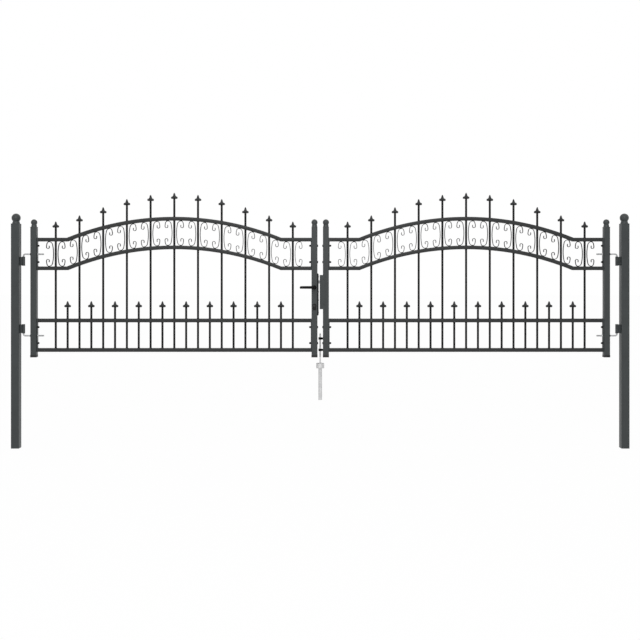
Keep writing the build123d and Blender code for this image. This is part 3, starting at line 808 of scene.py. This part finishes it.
# Drop bolt. A bright zinc-plated rod with its top bent back as a handle.
# It slides in two black eyes welded to the right meeting stile and drops into the ground sleeve.
dress(bright_zinc, "drop_bolt_rod")
eye_low, eye_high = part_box("drop_bolt_eyes")
rod_x, eye_half = middle_x("drop_bolt_rod"), 0.0065
ring_bore, ring_radius, ring_half = 0.0053, 0.0118, 0.0078
bore_edge, rim_edge = 0.0007, 0.0009
arm_start, arm_half, arm_half_depth = 0.0085, 0.0064, 0.0045
ring_outline = (
    (ring_bore, bore_edge - ring_half), (ring_bore + bore_edge, -ring_half),
    (ring_radius - rim_edge, -ring_half), (ring_radius, rim_edge - ring_half),
    (ring_radius, ring_half - rim_edge), (ring_radius - rim_edge, ring_half),
    (ring_bore + bore_edge, ring_half), (ring_bore, ring_half - bore_edge),
    (ring_bore, bore_edge - ring_half),
)
bead_y = 0.004
eyes, beads = [], bmesh.new()
for z in (eye_low.z + eye_half, eye_high.z - eye_half):
    ring, _ = drawn(ring_outline)
    eyes.append(repeat(turned(ring, 28), [Matrix.Translation((rod_x, 0, z))]))
    foot, head = (rod_x + arm_start, -arm_half_depth, z - arm_half), (eye_high.x, arm_half_depth, z + arm_half)
    eyes.append(bar(foot, head, edge=0.001))
    for edge_z in (z - arm_half, z + arm_half):
        start, end = (eye_high.x, -bead_y, edge_z), (eye_high.x, bead_y, edge_z)
        weld_run(beads, start, end, ripple=(0.0022, 0.0022, 0.0022), count=4)
made = piece("drop_bolt_rings", joined(*eyes, beads), "right_leaf", enamel)
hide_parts("drop_bolt_eyes")


# Studio. A white floor under the posts' feet and a white surround, lit evenly, with one soft lamp in front.
# The camera stands level in front of the gate's middle, as it did for the picture.
def seen_white(tree):
    """1 for rays that show the background itself: straight to the camera, mirrored or through glass."""
    rays = add(tree, "LightPath", {}).outputs
    mirrored = calc(tree, "MAXIMUM", rays["Is Camera Ray"], rays["Is Glossy Ray"])
    return calc(tree, "MAXIMUM", mirrored, rays["Is Transmission Ray"])


white = (1.0, 1.0, 1.0, 1.0)
ground = bmesh.new()
bmesh.ops.create_grid(ground, x_segments=4, y_segments=4, size=40.0)
floor_data = bpy.data.meshes.new("floor")
ground.to_mesh(floor_data)
ground.free()
floor = bpy.data.objects.new("floor", floor_data)
bpy.context.scene.collection.objects.link(floor)
paper = bpy.data.materials.new("white_paper")
paper.use_nodes = True
tree = paper.node_tree
surface = tree.nodes["Principled BSDF"]
surface.inputs["Base Color"].default_value = (0.9, 0.9, 0.9, 1.0)
surface.inputs["Roughness"].default_value = 0.9
glow = add(tree, "Emission", {"Color": white, "Strength": 1.0}).outputs[0]
paper_glow = 0.97
share = calc(tree, "MULTIPLY", seen_white(tree), paper_glow)
paper_mix = add(tree, "MixShader", {0: share, 1: surface.outputs[0], 2: glow}).outputs[0]
tree.links.new(paper_mix, tree.nodes["Material Output"].inputs["Surface"])
floor_data.materials.append(paper)

world = bpy.data.worlds.new("white_surround")
bpy.context.scene.world = world
world.use_nodes = True
tree = world.node_tree
backdrop = tree.nodes["Background"]
backdrop.inputs["Color"].default_value = white
ambient = add(tree, "Background", {"Color": white, "Strength": 0.72}).outputs[0]
both = add(tree, "MixShader", {0: seen_white(tree), 1: ambient, 2: backdrop.outputs[0]}).outputs[0]
tree.links.new(both, tree.nodes["World Output"].inputs["Surface"])

soft_box = bpy.data.lights.new("soft_box", "AREA")
soft_box.shape = "SQUARE"
soft_box.size = 4.0
soft_box.energy = 170.0
lamp = bpy.data.objects.new("soft_box", soft_box)
lamp.location = (1.6, -7.0, 4.6)
lit_spot = Vector((2.05, 0.0, 0.9))
lamp.rotation_euler = (lit_spot - lamp.location).to_track_quat("-Z", "Y").to_euler()
bpy.context.scene.collection.objects.link(lamp)

view = bpy.data.cameras.new("camera")
view.lens = 50.0
view.sensor_width = 36.0
view.shift_y = -0.075
camera = bpy.data.objects.new("camera", view)
camera.location = (2.05115, -6.0, 1.187)
camera.rotation_euler = (math.pi / 2, 0.0, 0.0)
bpy.context.scene.collection.objects.link(camera)
bpy.context.scene.camera = camera
bpy.context.scene.view_settings.view_transform = "Standard"
